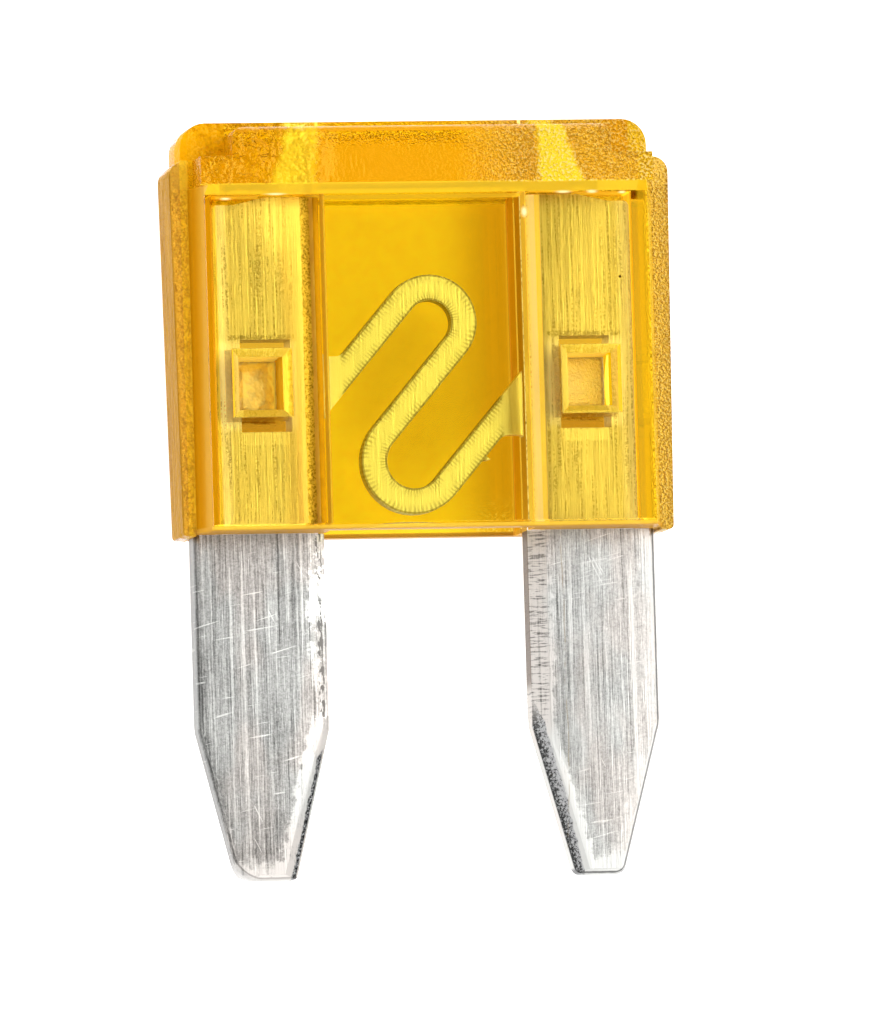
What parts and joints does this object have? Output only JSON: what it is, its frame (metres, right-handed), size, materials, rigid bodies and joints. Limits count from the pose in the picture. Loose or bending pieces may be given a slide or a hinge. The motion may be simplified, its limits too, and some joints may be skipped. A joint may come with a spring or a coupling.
{
  "type": "blade fuse",
  "caption": "Plug-in blade fuse: a clear amber housing closed round a flat stamped element, two tapered blades joined by a thin S-shaped melting link.",
  "frame": {"origin": "centre of the base of the box round the fuse as it lies on its back", "axes": "+X across the two blades, +Y from the blade tips to the head, +Z out of the front face"},
  "size_m": [0.011, 0.0164, 0.0036],
  "materials": {
    "amber_plastic": "clear amber polycarbonate, polished window panels, finely textured head and ribs",
    "zinc": "stamped zinc strip, lengthwise drawing marks, coined edges"
  },
  "bodies": {
    "root": {"housing": "amber_plastic", "fuse_element": "zinc"}
  },
  "joints": []
}
